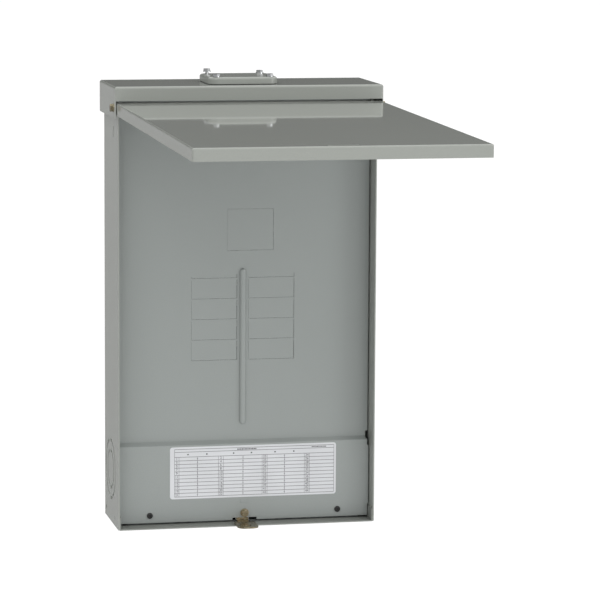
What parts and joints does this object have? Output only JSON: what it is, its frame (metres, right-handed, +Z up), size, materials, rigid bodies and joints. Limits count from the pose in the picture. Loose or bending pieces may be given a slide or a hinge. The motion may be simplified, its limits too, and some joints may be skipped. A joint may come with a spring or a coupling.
{
  "type": "raintight subpanel enclosure",
  "caption": "Wall-mounted raintight subpanel enclosure: bent steel box, overhanging cap, lift-up door, deadfront with breaker twistouts, directory label and bus-bar interior.",
  "frame": {"origin": "centre of the flat back face that lies on the wall", "axes": "+Y into the wall, +X to the right seen from the front, +Z up; the front faces -Y"},
  "size_m": [0.3388, 0.6365, 0.5582],
  "materials": {
    "grey_paint": "light grey baked powder paint, semi-gloss, fine texture",
    "gasket_rubber": "matt",
    "bright_zinc": "bright zinc plate",
    "yellow_zinc": "yellow chromate zinc plate",
    "black_steel": "black oxide",
    "galvanised_steel": "galvanised, faint spangle",
    "label_card": "white printed film, satin",
    "moulded_plastic": "moulded, matt",
    "tinned_aluminium": "tin plated, satin",
    "green_steel": "green zinc plate"
  },
  "bodies": {
    "enclosure": {"enclosure_wrapper": "grey_paint", "bottom_endwall": "grey_paint", "top_endwall": "grey_paint", "rain_cap": "grey_paint", "hub_cover": "grey_paint", "deadfront": "grey_paint", "hub_gasket": "gasket_rubber", "hub_cover_screws": "bright_zinc", "hinge_screws": "yellow_zinc", "hinge_nuts": "bright_zinc", "circuit_label": "label_card", "deadfront_rail": "galvanised_steel", "deadfront_screws": "black_steel", "centre_screw": "yellow_zinc", "padlock_hasp": "yellow_zinc", "interior_pan": "galvanised_steel", "pan_screws": "bright_zinc", "breaker_rail_left": "galvanised_steel", "breaker_rail_right": "galvanised_steel", "insulator_base": "moulded_plastic", "bus_bar_left": "tinned_aluminium", "bus_bar_right": "tinned_aluminium", "bus_stabs": "tinned_aluminium", "main_lugs": "tinned_aluminium", "lug_set_screws": "bright_zinc", "neutral_bar_left": "tinned_aluminium", "neutral_bar_right": "tinned_aluminium", "neutral_standoffs": "moulded_plastic", "neutral_bar_screws": "bright_zinc", "neutral_cross_strap": "tinned_aluminium", "neutral_lug": "tinned_aluminium", "neutral_lug_screw": "bright_zinc", "ground_bar": "tinned_aluminium", "ground_bar_screws": "bright_zinc", "bonding_screw": "green_steel"},
    "door_leaf": {"door": "grey_paint"}
  },
  "joints": [
    {"name": "door_hinge", "type": "hinge", "parent": "enclosure", "child": "door_leaf", "pos_m": [0, -0.1105, 0.2458], "axis": [-1, 0, 0], "range_deg": [-89.2, 11]}
  ]
}
